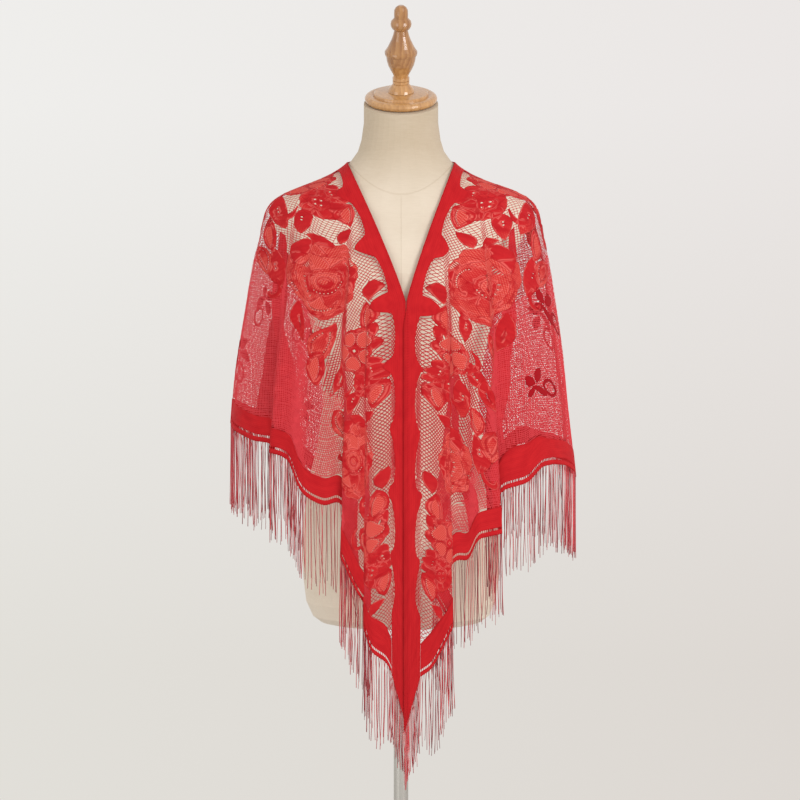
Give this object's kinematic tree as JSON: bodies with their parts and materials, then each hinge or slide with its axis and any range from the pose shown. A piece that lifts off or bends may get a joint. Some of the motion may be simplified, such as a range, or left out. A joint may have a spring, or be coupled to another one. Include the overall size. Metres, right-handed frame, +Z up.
{
  "type": "lace shawl on dress form",
  "caption": "Triangular red lace shawl with a scalloped hem and a long fringe, draped over a limbless dress form with a turned wooden neck cap, on a pole and a round base.",
  "frame": {"origin": "centre of the round base's underside, on the floor", "axes": "+Z up along the pole; -Y to the front, where the shawl opens; +X to the right of someone who looks at the front"},
  "size_m": [0.502, 0.3202, 1.6898],
  "materials": {
    "red_lace": "knitted net with flowers, sheer",
    "red_band": "close knit, matt",
    "red_fringe": "fine silky threads",
    "linen": "plain weave, matt",
    "wood": "turned and lacquered, satin",
    "steel": "satin"
  },
  "bodies": {
    "root": {"lace_left": "red_lace", "lace_right": "red_lace", "lace_back": "red_lace", "neck_band_left": "red_band", "neck_band_right": "red_band", "neck_band_back": "red_band", "hem_band_left": "red_band", "hem_band_right": "red_band", "hem_band_back": "red_band", "fringe_left": "red_fringe", "fringe_right": "red_fringe", "fringe_back": "red_fringe", "form_torso": "linen", "neck_cap": "wood", "finial": "wood", "pole": "steel", "base": "steel"}
  },
  "joints": []
}
